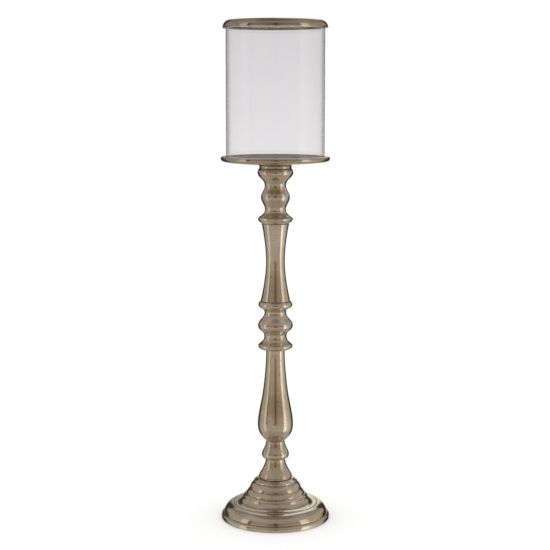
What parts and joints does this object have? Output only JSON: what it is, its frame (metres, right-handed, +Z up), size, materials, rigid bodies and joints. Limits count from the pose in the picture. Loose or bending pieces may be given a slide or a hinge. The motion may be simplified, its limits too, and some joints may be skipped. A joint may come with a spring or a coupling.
{
  "type": "hurricane candle lantern",
  "caption": "Tall floor-standing hurricane candle lantern: stepped round foot, turned metal stem, flat candle plate, clear glass cylinder and rounded metal rim that both lift off.",
  "frame": {"origin": "on the floor, in the middle of the foot's underside", "axes": "+Z up along the axis of the stem; the object is round, so +X and +Y are free"},
  "size_m": [0.169, 0.169, 0.7702],
  "materials": {
    "antique_nickel": "polished cast metal plated in a warm antique nickel, with dark age in the grooves",
    "clear_glass": "clear soda-lime glass, fire-polished ends",
    "steel": "zinc-plated threaded steel",
    "cast_iron": "rough casting, painted black",
    "felt": "dense wool felt"
  },
  "bodies": {
    "stand": {"felt_pad": "felt", "ballast_disc": "cast_iron", "flat_washer": "steel", "lock_washer": "steel", "foot_nut": "steel", "tie_rod": "steel", "foot": "antique_nickel", "bell_collar": "antique_nickel", "lower_collar": "antique_nickel", "baluster": "antique_nickel", "centre_knop": "antique_nickel", "column": "antique_nickel", "capital_knop": "antique_nickel", "candle_plate": "antique_nickel"},
    "shade": {"glass_shade": "clear_glass"},
    "rim": {"shade_rim": "antique_nickel"}
  },
  "joints": [
    {"name": "shade_lift", "type": "slide", "parent": "stand", "child": "shade", "axis": [0, 0, 1], "range_m": [0, 0.21]},
    {"name": "rim_lift", "type": "slide", "parent": "shade", "child": "rim", "axis": [0, 0, 1], "range_m": [0, 0.04]}
  ]
}
